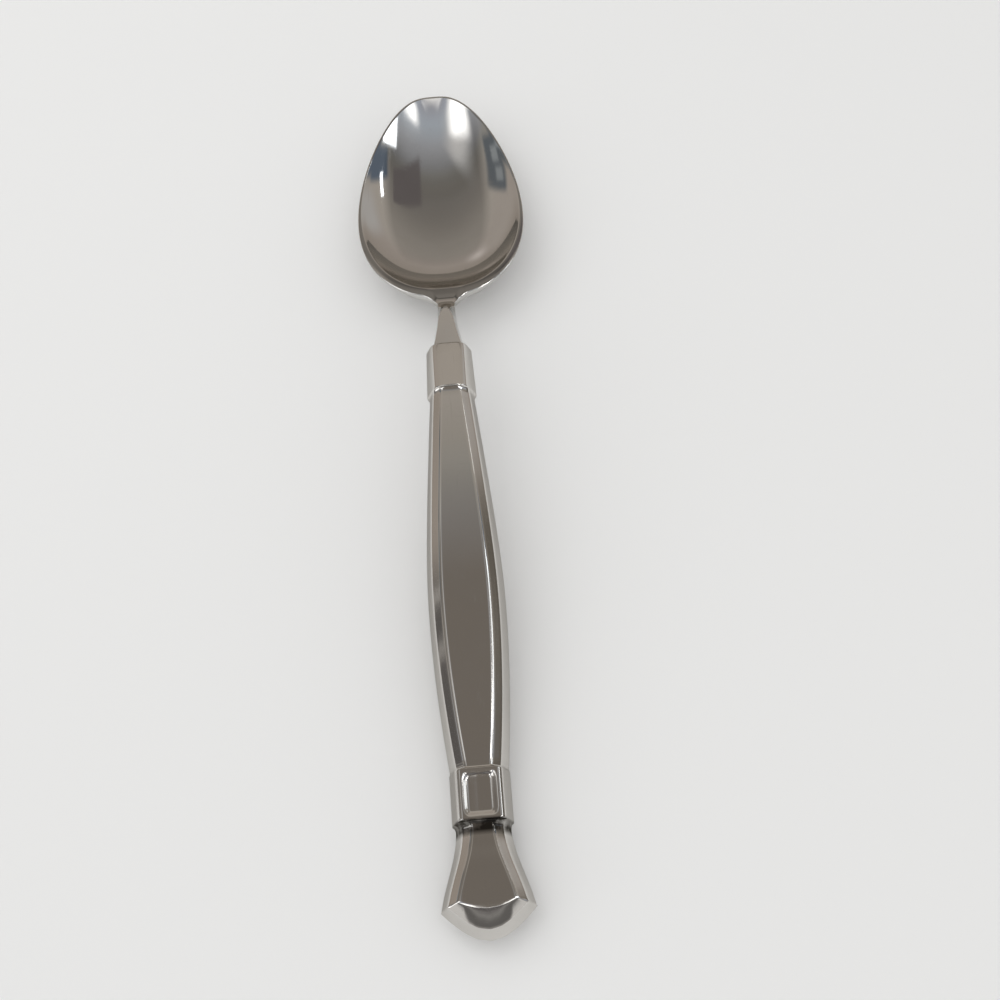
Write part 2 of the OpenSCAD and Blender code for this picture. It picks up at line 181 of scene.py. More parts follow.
underside = min(sheer(y) - hollow(y) - bowl_wall for y in [mix(shoulder, tip, k / 200) for k in range(201)])


def rim_width(y):
    """The flat rim is wide at the heel and narrow from the bowl's middle to its tip."""
    return mix(heel_width, side_width, ease((y - shoulder) / bowl_length * rim_narrowing))


def neckness(y):
    """Share of the neck in the blend with the bowl at the heel."""
    return ease((shoulder + heel_blend / 2 - y) / heel_blend)


def ridge(y):
    """How much of the neck's crown and bevels is left, which end at the tip of its flat top."""
    return ease((tongue_tip - y) / tongue_fade)


def neck_taper(y):
    return max(0, 1 - max(0, y - mouth) / neck_length / taper_reach) ** taper_power


def neck_fade(y):
    return 1 - ease((y - shoulder) / ridge_length)


def half_neck(y):
    """Half the neck's width, with the concave web that joins it to the heel."""
    web = heel_web * clamp(1 - (shoulder - y) / web_length) ** web_power
    web *= 1 - ease((y - shoulder) / web_fade)
    return (mix(waist_half, neck_half, neck_taper(y)) + web) * neck_fade(y)


neck_top = seam_height(mouth) + neck_thickness / 2


def bend(distance, reach):
    """A straight rise that leaves the level in a bend."""
    return distance if distance > reach else max(0, distance + reach) ** 2 / (4 * reach)


def top_height(y, x=0):
    """Height of the rim and heel, of the round flank that rises from them, and of the neck's flat top."""
    rise = crank_slope * bend(crank_foot - y, crank_bend)
    flank = sheer(y) - underside + rise - flank_round * x * x * ease(rise / flank_rise)
    share = clamp(0.5 + (flank - neck_top) / (2 * tongue_round))
    return mix(flank, neck_top, share) - tongue_round * share * (1 - share)


def lead(y):
    """How far the hollow's edge stands ahead of the outer edge of the same ring."""
    if y > shoulder:
        return mix(heel_rim, -tip_rim, (y - shoulder) / bowl_length)
    return heel_rim * ease(1 - (shoulder - y) / heel_turn)


ring_steps = 44
ring_shares = [2 * k / ring_steps - 1 for k in range(ring_steps + 1)]


def forged_ring(y, y_top, half, top_half, top, edge, side, belly, flat):
    """A ring of the forging: the top from left to right, then the underside from right to left. top gives
    its height, edge is the height of its outer edges, and belly is its depth below their sides."""
    low_half = mix(underside_share * half, top_half, flat)
    sole = edge - side
    ring = [Vector((-half, y, edge))]
    for t in ring_shares:
        ring.append(Vector((top_half * t, y_top, top(t))))
    ring += [Vector((half, y, edge)), Vector((half, y, sole))]
    for t in reversed(ring_shares):
        fall = mix(across(low_half * t / max(half, 1e-6)), 1, flat)
        ring.append(Vector((low_half * t, mix(y_top, y, abs(t)), sole - belly * fall)))
    return ring + [Vector((-half, y, sole))]


def spoon_ring(y):
    """A ring of the bowl, the heel or the neck, with the two forms blended at the heel."""
    share, y_top = neckness(y), y + lead(y)
    half = math.hypot(bowl_half * outline(y), half_neck(y))
    top_half = math.hypot((bowl_half - rim_width(y)) * outline(y),
                          half_neck(y) - neck_bevel * neck_fade(y))
    deep = mix(waist_thickness, neck_thickness, neck_taper(y))
    dip = max(0, hollow(y) - hollow(shoulder) * neck_fade(y)) - neck_crown * ridge(y)
    edge = top_height(y, half) - neck_bevel * ridge(y)
    wall = mix(edge_wall, bowl_wall, clamp(fullness(y)))
    bottom = mix(sheer(y) - underside - hollow(y), neck_top, ease((shoulder - y) / sole_rise))
    bottom -= mix(wall, deep, share)
    neck_side = min(deep - 2 * neck_bevel, max(least_side, edge - bottom - neck_bevel))
    side = mix(rim_edge, neck_side, share)
    belly = max(least_belly, edge - side - bottom)

    def top(t):
        return top_height(y_top, top_half * t) - dip * across(t)

    return forged_ring(y, y_top, half, top_half, top, edge, side, belly, share)


def bar_ring(y, half, thickness, bevel):
    """A ring of the plain bevelled bar, inside the handle's mouth and along the tang."""
    high = seam_height(y) + thickness / 2
    return forged_ring(y, y, half, half - bevel, lambda t: high, high - bevel,
                       thickness - 2 * bevel, bevel, 1)


corner_steps = 4


def rounded(path, reaches, closed=False):
    """The path with its corners rounded: a corner's reach is the length that its curve takes from both
    neighbouring stretches, and a reach of 0 keeps the point."""
    points = []
    for k, point in enumerate(path):
        last = len(path) - 1
        if not reaches[k] or not closed and k in (0, last):
            points.append(point)
            continue
        before, after = path[k - 1], path[(k + 1) % len(path)]
        start = point.lerp(before, min(0.5, reaches[k] / max(1e-6, (before - point).length)))
        end = point.lerp(after, min(0.5, reaches[k] / max(1e-6, (after - point).length)))
        for step in range(corner_steps + 1):
            t = step / corner_steps
            points.append(start.lerp(point, t).lerp(point.lerp(end, t), t))
    return points


def rounded_net(rows, row_reaches, column_reaches, closed=False):
    """Rows of points with their corners rounded both ways. column_reaches has a list for each row."""
    fine_rows = [rounded(row, reaches, closed) for row, reaches in zip(rows, column_reaches)]
    fine_columns = [rounded(column, row_reaches) for column in zip(*fine_rows)]
    return [list(row) for row in zip(*fine_columns)]


def lay_sheet(bm, rows):
    """A grid laid over rows of points, turned from millimetres into metres."""
    across_count, along_count = len(rows[0]) - 1, len(rows) - 1
    grid = bmesh.ops.create_grid(bm, x_segments=across_count, y_segments=along_count, size=1)["verts"]
    for vert in grid:
        column = round((vert.co.x + 1) / 2 * across_count)
        row = round((vert.co.y + 1) / 2 * along_count)
        vert.co = rows[row][column].xyz * mm


sharp_angle = math.radians(40)


def as_piece(bm, name, material):
    """The finished mesh as a named piece of the spoon, smooth but for its sharp edges."""
    bmesh.ops.recalc_face_normals(bm, faces=bm.faces)
    mesh = bpy.data.meshes.new(name)
    bm.to_mesh(mesh)
    bm.free()
    mesh.shade_smooth()
    mesh.set_sharp_from_angle(angle=sharp_angle)
    mesh.materials.append(material)
    piece = bpy.data.objects.new(name, mesh)
    bpy.context.scene.collection.objects.link(piece)
    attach(piece, "root")
    return piece


tang_half = 1.6
tang_thickness = 2.6
tang_bevel = 0.45
tang_point = 1.6
notch_count = 3
notch_depth = 0.45
notch_length = 2.2
notch_pitch = 9
lip_length = 1.2
mouth_lip = 0.65
lip_start = mouth - lip_length
tang_shoulder = lip_start - mouth_lip

tang_path = [(tang_end, tang_half - tang_point / 2), (tang_end + tang_point, tang_half)]
for k in range(notch_count):
    notch = tang_end + tang_point + notch_length + k * notch_pitch
    tang_path += [(notch, tang_half), (notch + notch_depth, tang_half - notch_depth),
                  (notch + notch_depth + notch_length, tang_half - notch_depth),
                  (notch + 2 * notch_depth + notch_length, tang_half)]
tang_path.append((tang_shoulder, tang_half))

neck_rings = 90
bowl_rings = 120
forging_rows = [bar_ring(y, half, tang_thickness, tang_bevel) for y, half in tang_path]
forging_rows += [bar_ring(y, neck_half, neck_thickness, neck_bevel) for y in (lip_start, mouth)]
forging_rows += [spoon_ring(mix(mouth, shoulder, k / neck_rings)) for k in range(1, neck_rings)]
forging_rows += [spoon_ring(shoulder + bowl_length * (1 - math.cos(math.pi * k / bowl_rings)) / 2)
                 for k in range(bowl_rings + 1)]

rim_round = 0.22
sole_round = 0.4
smooth = [0] * (ring_steps - 1)
ring_reaches = ([rim_round, rim_round] + smooth + [rim_round, rim_round, sole_round, sole_round]
                + smooth + [sole_round, sole_round])
forging_net = rounded_net(forging_rows, [0] * len(forging_rows), [ring_reaches] * len(forging_rows), True)

bm = bmesh.new()
lay_sheet(bm, [row + row[:1] for row in forging_net])
weld = 1e-4
bmesh.ops.remove_doubles(bm, verts=bm.verts, dist=weld * mm)
bmesh.ops.holes_fill(bm, edges=[edge for edge in bm.edges if edge.is_boundary], sides=0)


def add_node(tree, kind, sockets=None, **settings):
    """A new node with its settings. A socket takes a value or is linked to another node's output."""
    node = tree.nodes.new(kind)
    for key, value in settings.items():
        setattr(node, key, value)
    for key, value in (sockets or {}).items():
        if isinstance(value, bpy.types.NodeSocket):
            tree.links.new(value, node.inputs[key])
        else:
            node.inputs[key].default_value = value
    return node


def noise(tree, place, scale, stretch=(1, 1, 1), detail=2):
    spread_out = add_node(tree, "ShaderNodeVectorMath", {0: place, 1: stretch}, operation="MULTIPLY")
    return add_node(tree, "ShaderNodeTexNoise",
                    {"Vector": spread_out.outputs[0], "Scale": scale, "Detail": detail}).outputs[0]


def remap(tree, value, low, high, new_low, new_high):
    return add_node(tree, "ShaderNodeMapRange",
                    {0: value, 1: low, 2: high, 3: new_low, 4: new_high}).outputs[0]


def calc(tree, operation, a, b):
    return add_node(tree, "ShaderNodeMath", {0: a, 1: b}, operation=operation).outputs[0]


# Wear of polished steel: wiping smudges, hair scratches along the spoon and the slight waves of buffing
steel_wear = bpy.data.node_groups.new("steel_wear", "ShaderNodeTree")
for title in ("Polish", "Waves"):
    steel_wear.interface.new_socket(title, in_out="INPUT", socket_type="NodeSocketFloat")
for title in ("Tone", "Roughness", "Height"):
    steel_wear.interface.new_socket(title, in_out="OUTPUT", socket_type="NodeSocketFloat")
wear_in = add_node(steel_wear, "NodeGroupInput").outputs
wear_place = add_node(steel_wear, "ShaderNodeTexCoord").outputs["Object"]
tree = steel_wear
smudge_grain, scratch_grain, cross_grain, swell_grain, peel_grain = 85, 900, 700, 140, 1100
smudge = remap(tree, noise(tree, wear_place, smudge_grain, detail=4), 0.42, 0.68, 0, 1)
scratch = remap(tree, noise(tree, wear_place, scratch_grain, (3, 0.06, 3), 1), 0.66, 0.74, 0, 1)
cross = remap(tree, noise(tree, wear_place, cross_grain, (0.5, 2.2, 0.2), 1), 0.69, 0.76, 0, 0.6)
lines = calc(tree, "MAXIMUM", scratch, cross)
swell = noise(tree, wear_place, swell_grain, (1, 0.55, 1), 1)
peel = noise(tree, wear_place, peel_grain, detail=1)


def weighed(a, a_weight, b, b_weight):
    """Two wear patterns of steel_wear added, each with its weight."""
    return calc(steel_wear, "ADD", calc(steel_wear, "MULTIPLY", a, a_weight),
                calc(steel_wear, "MULTIPLY", b, b_weight))


rough = calc(tree, "ADD", wear_in["Polish"], weighed(smudge, 0.06, lines, 0.05))
tone = weighed(smudge, 0.55, lines, 0.3)
height = calc(tree, "ADD", calc(tree, "MULTIPLY", swell, wear_in["Waves"]),
              weighed(peel, 0.06, lines, -0.03))
add_node(tree, "NodeGroupOutput", {"Tone": tone, "Roughness": rough, "Height": height})


wave_depth = 0.02


def steel(name, clean, dull, edge, polish, waves):
    """Polished steel with its wear: its clean and dull colours, its tint at a glance along the face, its
    roughness where clean and the strength of its waves."""
    material = bpy.data.materials.new(name)
    material.use_nodes = True
    tree = material.node_tree
    wear = add_node(tree, "ShaderNodeGroup", node_tree=steel_wear)
    wear.inputs["Polish"].default_value = polish
    wear.inputs["Waves"].default_value = waves
    colour = add_node(tree, "ShaderNodeMix", {0: wear.outputs["Tone"], 6: (*clean, 1), 7: (*dull, 1)},
                      data_type="RGBA")
    bump = add_node(tree, "ShaderNodeBump", {"Strength": 1, "Distance": wave_depth * mm,
                                             "Height": wear.outputs["Height"]})
    shader = tree.nodes["Principled BSDF"]
    shader.inputs["Metallic"].default_value = 1
    shader.inputs["Specular Tint"].default_value = (*edge, 1)
    tree.links.new(colour.outputs[2], shader.inputs["Base Color"])
    tree.links.new(wear.outputs["Roughness"], shader.inputs["Roughness"])
    tree.links.new(bump.outputs[0], shader.inputs["Normal"])
    return material


bowl_steel = steel("bowl_steel", clean=(0.65, 0.64, 0.622), dull=(0.585, 0.57, 0.548),
                   edge=(0.85, 0.84, 0.82), polish=0.045, waves=0.5)
forging = as_piece(bm, "polished_bowl", bowl_steel)
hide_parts("bowl_and_tang")

# Two handle shells
# Stamped from thin stainless sheet, front and back alike: a collar round the neck, a long grip with flat
# facets, a band with a sunk panel and a flared finial. They are soldered edge to edge and polished.
finial_length = 17.3
finial_half = 7.3
throat_half = 4.4
finial_high = 3.9
throat_high = 3.5
throat_cove = 1
end_crown = 4.6
end_facet = 1.35
end_bevel = 3
end_dip = 0.45
end_bulge = 0.07
finial_bevel = 1.2
corner_step = 0.2
facet_step = 0.6
end_round = 7
flare_power = 1.5
band_length = 7.9
band_half = 4.85
band_high = 4.1
band_frame = 0.6
band_bevel = 0.55
panel_depth = 0.4
panel_slope = 0.6
panel_round = 0.5
panel_pillow = 0.1
band_step = 0.45
grip_half = 6.4
grip_top_half = 3.85
grip_foot_half = 4.7
belly_place = 27.5
grip_high = 4.25
grip_end_high = 3.8
belly_round_up = 11
belly_round_down = 40
side_lean = 1.15
grip_lean = 1
grip_top_lean = 0.7
bevel_width = 1.6
bevel_height = 1.35
ferrule_length = 9.2
ferrule_half = 4.35
ferrule_high = 4.3
ferrule_cove = 1
ferrule_lean = 1.3
ferrule_drop = 1.1
mouth_lean = 1.1
mouth_drop = 0.75
front_power = 3
mouth_gap = 0.06
shell_wall = 0.7
ridge_round = 0.25

throat = handle_end + finial_length - throat_cove
band_start = handle_end + finial_length
band_end = band_start + band_length
belly = band_end + belly_place
ferrule_start = mouth - ferrule_length
grip_foot = band_end + band_step
grip_top = ferrule_start - ferrule_cove
mouth_half = 4.05
mouth_high = neck_thickness / 2 + mouth_gap + mouth_lip
facet_shares = (0.7, 0.45)


def facetted(half, high, lean, bevel, drop, round_front=0):
    """A section on one side of the seam, as half widths of the seam, the bevel's outer edge, the facet, the
    panel's frame and the panel, heights of the bevel's outer edge and the facet, the panel's depth and how
    round the front is."""
    edge = half - lean
    facet = edge - bevel
    return Vector((half, edge, facet, facet * facet_shares[0], facet * facet_shares[1],
                   high - drop, high, 0, round_front))


def sweep(distance, reach, turn):
    """Share of a rise along a hyperbola, which is level at 0 and whole at the reach."""
    return (math.hypot(distance, turn) - turn) / (math.hypot(reach, turn) - turn)


def flare(share):
    """Share of the finial's widening toward its end."""
    return (clamp(share) ** flare_power + ease(share)) / 2


def half_finial(y):
    return mix(throat_half, finial_half, flare((throat - y) / (throat - handle_end - end_crown)))


def finial_section(y):
    rise = ease((y - handle_end - rest_length) / (throat - handle_end - rest_length))
    return facetted(half_finial(y), mix(finial_high, throat_high, rise), side_lean, bevel_width, finial_bevel)


def band_section(sunk, panel_share=1):
    edge = band_half - side_lean
    facet = edge - band_bevel
    frame_edge = (facet - band_frame) * panel_share
    return Vector((band_half, edge, facet, frame_edge, frame_edge - panel_slope,
                   band_high - band_bevel, band_high, panel_depth * sunk, 0))


def grip_section(y):
    up = y > belly
    reach = ferrule_start - belly if up else belly - band_end
    share = sweep(y - belly, reach, belly_round_up if up else belly_round_down)
    return facetted(mix(grip_half, grip_top_half if up else grip_foot_half, share),
                    mix(grip_high, grip_end_high, share),
                    mix(grip_lean, grip_top_lean if up else side_lean, share), bevel_width, bevel_height)


def ferrule_section(y):
    share = (y - ferrule_start) / ferrule_length
    return facetted(mix(ferrule_half, mouth_half, share), mix(ferrule_high, mouth_high, share),
                    mix(ferrule_lean, mouth_lean, share), bevel_width,
                    mix(ferrule_drop, mouth_drop, share), 1)


def moved_in(section):
    """The section of the inner face, which lies a wall inside a section of the outer face."""
    half, edge, facet, _, _, edge_high, high, sunk, round_front = section
    side = Vector((edge_high, half - edge)).normalized()
    bevel = Vector((high - edge_high, edge - facet)).normalized()
    a = side.x * half - shell_wall
    b = bevel.x * edge + bevel.y * edge_high - shell_wall
    det = side.x * bevel.y - side.y * bevel.x
    new_high = high - sunk - shell_wall
    new_facet = (b - bevel.y * new_high) / bevel.x
    return Vector((a / side.x, (a * bevel.y - b * side.y) / det,
                   new_facet, new_facet * facet_shares[0], new_facet * facet_shares[1],
                   (side.x * b - bevel.x * a) / det, new_high, 0, round_front))


def front_height(section, x):
    """Height of a section's front: flat with a bevel, or arched where the front is round."""
    _, edge, facet, _, _, edge_high, high, _, round_front = section
    flat = mix(high, edge_high, (x - facet) / (edge - facet)) if x > facet else high
    arched = high - (high - edge_high) * (x / edge) ** front_power
    return mix(flat, arched, round_front)


def half_section(section):
    """Points from the seam to the middle: the rounded ridge at the seam, then the facets' corners."""
    half, edge, facet, frame_edge, panel_edge, edge_high, _, sunk, _ = section
    ridge = half - (half - edge) * ridge_round / edge_high
    points = [(ridge, 0), (ridge, ridge_round), (edge, edge_high)]
    points += [(x, front_height(section, x)) for x in ((edge + facet) / 2, facet, frame_edge)]
    points.append((panel_edge, front_height(section, panel_edge) - sunk))
    return points + [(0, front_height(section, 0) - sunk * (1 - panel_pillow / panel_depth))]


def crossing(half_points, y, crown=0, corner=1):
    """A row across the handle. Its middle may stand past its sides, which lie beyond the corner."""
    full = [(-x, z) for x, z in half_points] + half_points[-2::-1]
    return [Vector((x, y - crown * (1 - min(1, sweep(x, corner, end_round))), z)) for x, z in full]


def station(y, section, reach=0):
    """A place along the handle with its outer section, its inner section and its rounding."""
    return (y, section, moved_in(section), reach)


def band_station(y, reach, *panel):
    """A station of the band, which is plain inside, under the panel."""
    core = facetted(band_half, band_high - panel_depth, side_lean, bevel_width, bevel_height)
    return (y, band_section(*panel), moved_in(core), reach)


def cove(high, low, count=7):
    """Stations of a quarter round that drops from a high station to a low one."""
    high_y, high_outer, high_inner, _ = high
    low_y, low_outer, low_inner, _ = low
    turns = [math.pi / 2 * k / count for k in range(1, count)]
    return [(mix(high_y, low_y, 1 - math.cos(a)), high_outer.lerp(low_outer, math.sin(a)),
             high_inner.lerp(low_inner, math.sin(a)), 0) for a in turns]


def spread(start, end, count):
    return [mix(start, end, k / count) for k in range(count + 1)]


edge_round = 0.35
bulge_round = 1
step_round = 0.3
panel_fillet = 0.5
arch_round = 9
bevel_corner = handle_end + end_crown + corner_step
facet_corner = handle_end + end_crown + facet_step
panel_start = band_start + band_frame
panel_end = band_end - band_frame
panel_turn = panel_slope + panel_round
panel_brow = 0.96
panel_foot = 0.93
finial_rings = 30
grip_rings = 60
ferrule_rings = 8
finial_stations = [station(y, finial_section(y))
                   for y in spread(facet_corner + 2 * shell_wall, throat, finial_rings)]
band_stations = [
    band_station(band_start, step_round, 0),
    band_station(panel_start, panel_fillet, 0, panel_brow),
    band_station(panel_start + panel_slope, panel_fillet, 1, panel_foot),
    band_station(panel_start + panel_turn, 0, 1),
    band_station(panel_end - panel_turn, 0, 1),
    band_station(panel_end - panel_slope, panel_fillet, 1, panel_foot),
    band_station(panel_end, panel_fillet, 0, panel_brow),
    band_station(band_end, step_round, 0)]
grip_stations = [station(y, grip_section(y)) for y in spread(grip_foot, grip_top, grip_rings)]
ferrule_stations = [station(y, ferrule_section(y))
                    for y in spread(ferrule_start, tang_shoulder, ferrule_rings)]
ferrule_stations[0] = station(ferrule_start, ferrule_section(ferrule_start), step_round)
lip_half = neck_half + mouth_gap
lip_lean = 0.01
lip_section = facetted(lip_half, neck_thickness / 2 + mouth_gap, lip_lean, neck_bevel, neck_bevel)
cavity_end = ferrule_stations[-1][2]
handle_stations = (
    finial_stations + cove(band_stations[0], finial_stations[-1])[::-1]
    + band_stations + cove(band_stations[-1], grip_stations[0])
    + grip_stations + cove(ferrule_stations[0], grip_stations[-1])[::-1]
    + ferrule_stations)
# The mouth's outer edge, its inner edge and the end of its lip. Inside, a cone closes the cavity.
cone_shares = (0.3, 0.6, 0.9)
cone_sections = [cavity_end.lerp(lip_section, share) for share in cone_shares]
inner_places = [y for y, outer, inner, reach in handle_stations]
inner_places += [mix(tang_shoulder, lip_start, share) for share in cone_shares]
handle_stations += [(mouth, ferrule_section(mouth), cone_sections[0], step_round),
                    (mouth, lip_section, cone_sections[1], step_round / 2),
                    (lip_start, lip_section, cone_sections[2], 0)]

# Shares of the half width at which the finial's end rows have their points
seam_shares = (0.995, 0.985, 0.97, 0.9, 0.8, 0.55, 0.3, 0)
ledge_shares = (0.985, 0.97, 0.55, 0.3, 0)


def end_rows(bevel_section, facet_section, seam_half, inset):
    """The seam's end curve, the bevel's edge, its middle and the facet's edge, which close the finial."""
    _, ledge_half, _, _, _, ledge_high, *_ = bevel_section
    _, _, facet_half, *_ = facet_section
    seam_points = [(seam_half * share, 0) for share in seam_shares]
    ledge_points = half_section(bevel_section)[:3]
    ledge_points += [(ledge_half * share, ledge_high - end_dip * (1 - share ** 2)) for share in ledge_shares]
    seam_row = crossing(seam_points, handle_end + end_crown + inset, end_crown, seam_half)
    ledge_row = crossing(ledge_points, bevel_corner + inset, end_crown + corner_step - end_facet, ledge_half)
    facet_row = crossing(half_section(facet_section), facet_corner + inset,
                         end_crown + facet_step - end_facet - end_bevel, facet_half)
    middle_row = [a.lerp(b, 0.5) + Vector((0, 0, end_bulge * max(0, 1 - (b.x / facet_half) ** 2)))
                  for a, b in zip(ledge_row, facet_row)]
    return [seam_row, ledge_row, middle_row, facet_row]


def column_reaches(section):
    """How far the corners of a section are rounded, from the seam to the seam."""
    *_, round_front = section
    facet, panel = mix(edge_round, arch_round, round_front), mix(panel_fillet, arch_round, round_front)
    half = [0, ridge_round, facet, facet, facet, panel, panel]
    return half + [panel] + half[::-1]


outer_facet = finial_section(facet_corner)
inner_facet = moved_in(outer_facet)
outer_rows = end_rows(finial_section(bevel_corner), outer_facet, half_finial(handle_end + end_crown), 0)
outer_rows += [crossing(half_section(outer), y) for y, outer, inner, reach in handle_stations]
inner_rows = end_rows(inner_facet, inner_facet, inner_facet[0], shell_wall)
inner_rows += [crossing(half_section(inner), place)
               for place, (y, outer, inner, reach) in zip(inner_places, handle_stations)]
row_reaches = [0, edge_round, bulge_round, edge_round] + [reach for y, outer, inner, reach in handle_stations]
shell_reaches = [column_reaches(outer_facet)] * 4
shell_reaches += [column_reaches(outer) for y, outer, inner, reach in handle_stations]
shell_nets = [rounded_net(rows, row_reaches, shell_reaches) for rows in (outer_rows, inner_rows)]

handle_steel = steel("handle_steel", clean=(0.67, 0.65, 0.62), dull=(0.6, 0.582, 0.552),
                     edge=(0.5, 0.49, 0.475), polish=0.07, waves=1)

# Painted shade in the groove under the band: the handle's colour is darkened toward near black there, in
# blotches
undercut_shade_colour = (0.06, 0.056, 0.05)
undercut_shade_fade = 1.3
undercut_shade_start = throat - undercut_shade_fade
undercut_shade_full = throat - undercut_shade_fade / 3
undercut_shade_grain = 420
tree = handle_steel.node_tree
place = add_node(tree, "ShaderNodeTexCoord").outputs["Object"]
along = add_node(tree, "ShaderNodeSeparateXYZ", {0: place}).outputs["Y"]
undercut_shade_mask = calc(tree, "MULTIPLY", remap(tree, along, undercut_shade_start * mm, undercut_shade_full * mm, 0, 1),
              remap(tree, along, band_start * mm, (band_start + step_round) * mm, 1, 0))
undercut_shade_blotch = remap(tree, noise(tree, place, undercut_shade_grain, detail=3), 0.3, 0.55, 0.3, 1)
handle_shader = tree.nodes["Principled BSDF"]
# Painted shade: the handle's colour is mixed toward the near-black colour in the groove under the band
undercut_shaded = add_node(tree, "ShaderNodeMix", {0: calc(tree, "MULTIPLY", undercut_shade_mask, undercut_shade_blotch),
                                             6: handle_shader.inputs["Base Color"].links[0].from_socket,
                                             7: (*undercut_shade_colour, 1)}, data_type="RGBA")
tree.links.new(undercut_shaded.outputs[2], handle_shader.inputs["Base Color"])

for name, node, way in (("front_handle", "front_shell", 1), ("back_handle", "back_shell", -1)):
    outer, inner = [[[Vector((x, y, seam_height(y) + way * z)) for x, y, z in row] for row in net]
                    for net in shell_nets]
    bm = bmesh.new()
    lay_sheet(bm, [out + back[::-1] + out[:1] for out, back in zip(outer, inner)])
    for end in (0, -1):
        lay_sheet(bm, [outer[end], inner[end]])
    bmesh.ops.remove_doubles(bm, verts=bm.verts, dist=weld * mm)
    shell = as_piece(bm, name, handle_steel)
    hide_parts(node)

# Solder in the seam
# A thin bead of silver solder along the inside of the seam, which holds the two shells together. It froze
# in small ripples, dull silver with a yellowish tarnish.
solder_clean = (0.62, 0.6, 0.55)
solder_tarnish = (0.42, 0.37, 0.28)
ripple_depth = 0.1
dull_roughness = 0.15


def filler(name, light, dark, grain, ripple, metal, roughness):
    """Mottled stuff that froze or set inside the handle, with small ripples on its face. grain and ripple
    are how fine its mottling and its ripples are."""
    material = bpy.data.materials.new(name)
    material.use_nodes = True
    tree = material.node_tree
    place = add_node(tree, "ShaderNodeTexCoord").outputs["Object"]
    mottle = remap(tree, noise(tree, place, grain, detail=4), 0.35, 0.65, 0, 1)
    colour = add_node(tree, "ShaderNodeMix", {0: mottle, 6: (*light, 1), 7: (*dark, 1)}, data_type="RGBA")
    bump = add_node(tree, "ShaderNodeBump", {"Strength": 0.6, "Distance": ripple_depth * mm,
                                             "Height": noise(tree, place, ripple, detail=3)})
    shader = tree.nodes["Principled BSDF"]
    shader.inputs["Metallic"].default_value = metal
    tree.links.new(colour.outputs[2], shader.inputs["Base Color"])
    rough = remap(tree, mottle, 0, 1, roughness, roughness + dull_roughness)
    tree.links.new(rough, shader.inputs["Roughness"])
    tree.links.new(bump.outputs[0], shader.inputs["Normal"])
    return material


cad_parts["seam_solder"].material_slots[0].material = filler(
    "solder", solder_clean, solder_tarnish, grain=350, ripple=1200, metal=1, roughness=0.35)

# Cement round the tang
# Grey resin cement poured into the handle's mouth, which grips the notches of the tang. It set dull and
# grainy, with a few paler specks of filler.
cement_pale = (0.46, 0.44, 0.4)
cement_dark = (0.33, 0.31, 0.275)
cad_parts["tang_cement"].material_slots[0].material = filler(
    "cement", cement_pale, cement_dark, grain=900, ripple=2500, metal=0, roughness=0.7)

# Floor, light and camera
# A plain pale table top under soft, even light. The steel mirrors a brown-grey room with daylight overhead,
# bright windows and panels to the sides, and dark cards that show only in reflections. The sizes of the
# floor and the lamps are in metres.
floor_size = 1.5
floor_colour = (0.84, 0.838, 0.832)
floor_roughness = 0.6
floor_sheen = 0.2
even_light = (0.83, 0.83, 0.826)
backdrop = (0.8, 0.797, 0.79)
bm = bmesh.new()
bmesh.ops.create_grid(bm, x_segments=1, y_segments=1, size=floor_size)
mesh = bpy.data.meshes.new("floor")
bm.to_mesh(mesh)
bm.free()
floor = bpy.data.objects.new("floor", mesh)
bpy.context.scene.collection.objects.link(floor)
floor_paint = bpy.data.materials.new("floor")
floor_paint.use_nodes = True
floor_shader = floor_paint.node_tree.nodes["Principled BSDF"]
floor_shader.inputs["Base Color"].default_value = (*floor_colour, 1)
floor_shader.inputs["Roughness"].default_value = floor_roughness
floor_shader.inputs["Specular IOR Level"].default_value = floor_sheen
floor.data.materials.append(floor_paint)

world = bpy.data.worlds.new("studio")
bpy.context.scene.world = world
world.use_nodes = True
tree = world.node_tree
view_way = add_node(tree, "ShaderNodeTexCoord").outputs["Generated"]
way = add_node(tree, "ShaderNodeSeparateXYZ", {0: view_way}).outputs
turn = calc(tree, "ARCTAN2", way["X"], way["Y"])
rise = calc(tree, "ARCSINE", way["Z"], 0)
over = calc(tree, "DIVIDE", calc(tree, "ARCTAN2", way["Z"], way["Y"]), math.pi)
room = add_node(tree, "ShaderNodeValToRGB", {0: over})
# Tones of the room from the wall ahead of the bowl, over the ceiling, to the wall behind, by the angle up
# from the table in degrees
room_tones = (
    (0, (0.33, 0.29, 0.255)), (6, (0.37, 0.325, 0.285)), (25, (0.413, 0.365, 0.327)),
    (35, (0.447, 0.408, 0.365)), (50, (0.456, 0.417, 0.374)), (62, (0.439, 0.408, 0.374)),
    (68, (0.383, 0.357, 0.323)), (73, (0.335, 0.323, 0.301)), (77, (0.327, 0.327, 0.335)),
    (85, (0.421, 0.43, 0.456)), (92, (0.473, 0.525, 0.585)), (98, (0.473, 0.494, 0.568)),
    (118, (0.447, 0.464, 0.503)), (126, (0.129, 0.12, 0.12)), (132, (0.129, 0.12, 0.12)),
    (136, (0.318, 0.31, 0.301)), (140, (0.155, 0.15, 0.146)), (150, (0.155, 0.15, 0.146)),
    (165, (0.3, 0.29, 0.28)), (180, (0.34, 0.33, 0.32)))
stops = room.color_ramp.elements
for k, (angle, tone) in enumerate(room_tones):
    stop = stops[k] if k < 2 else stops.new(angle / 180)
    stop.position = angle / 180
    stop.color = (*tone, 1)


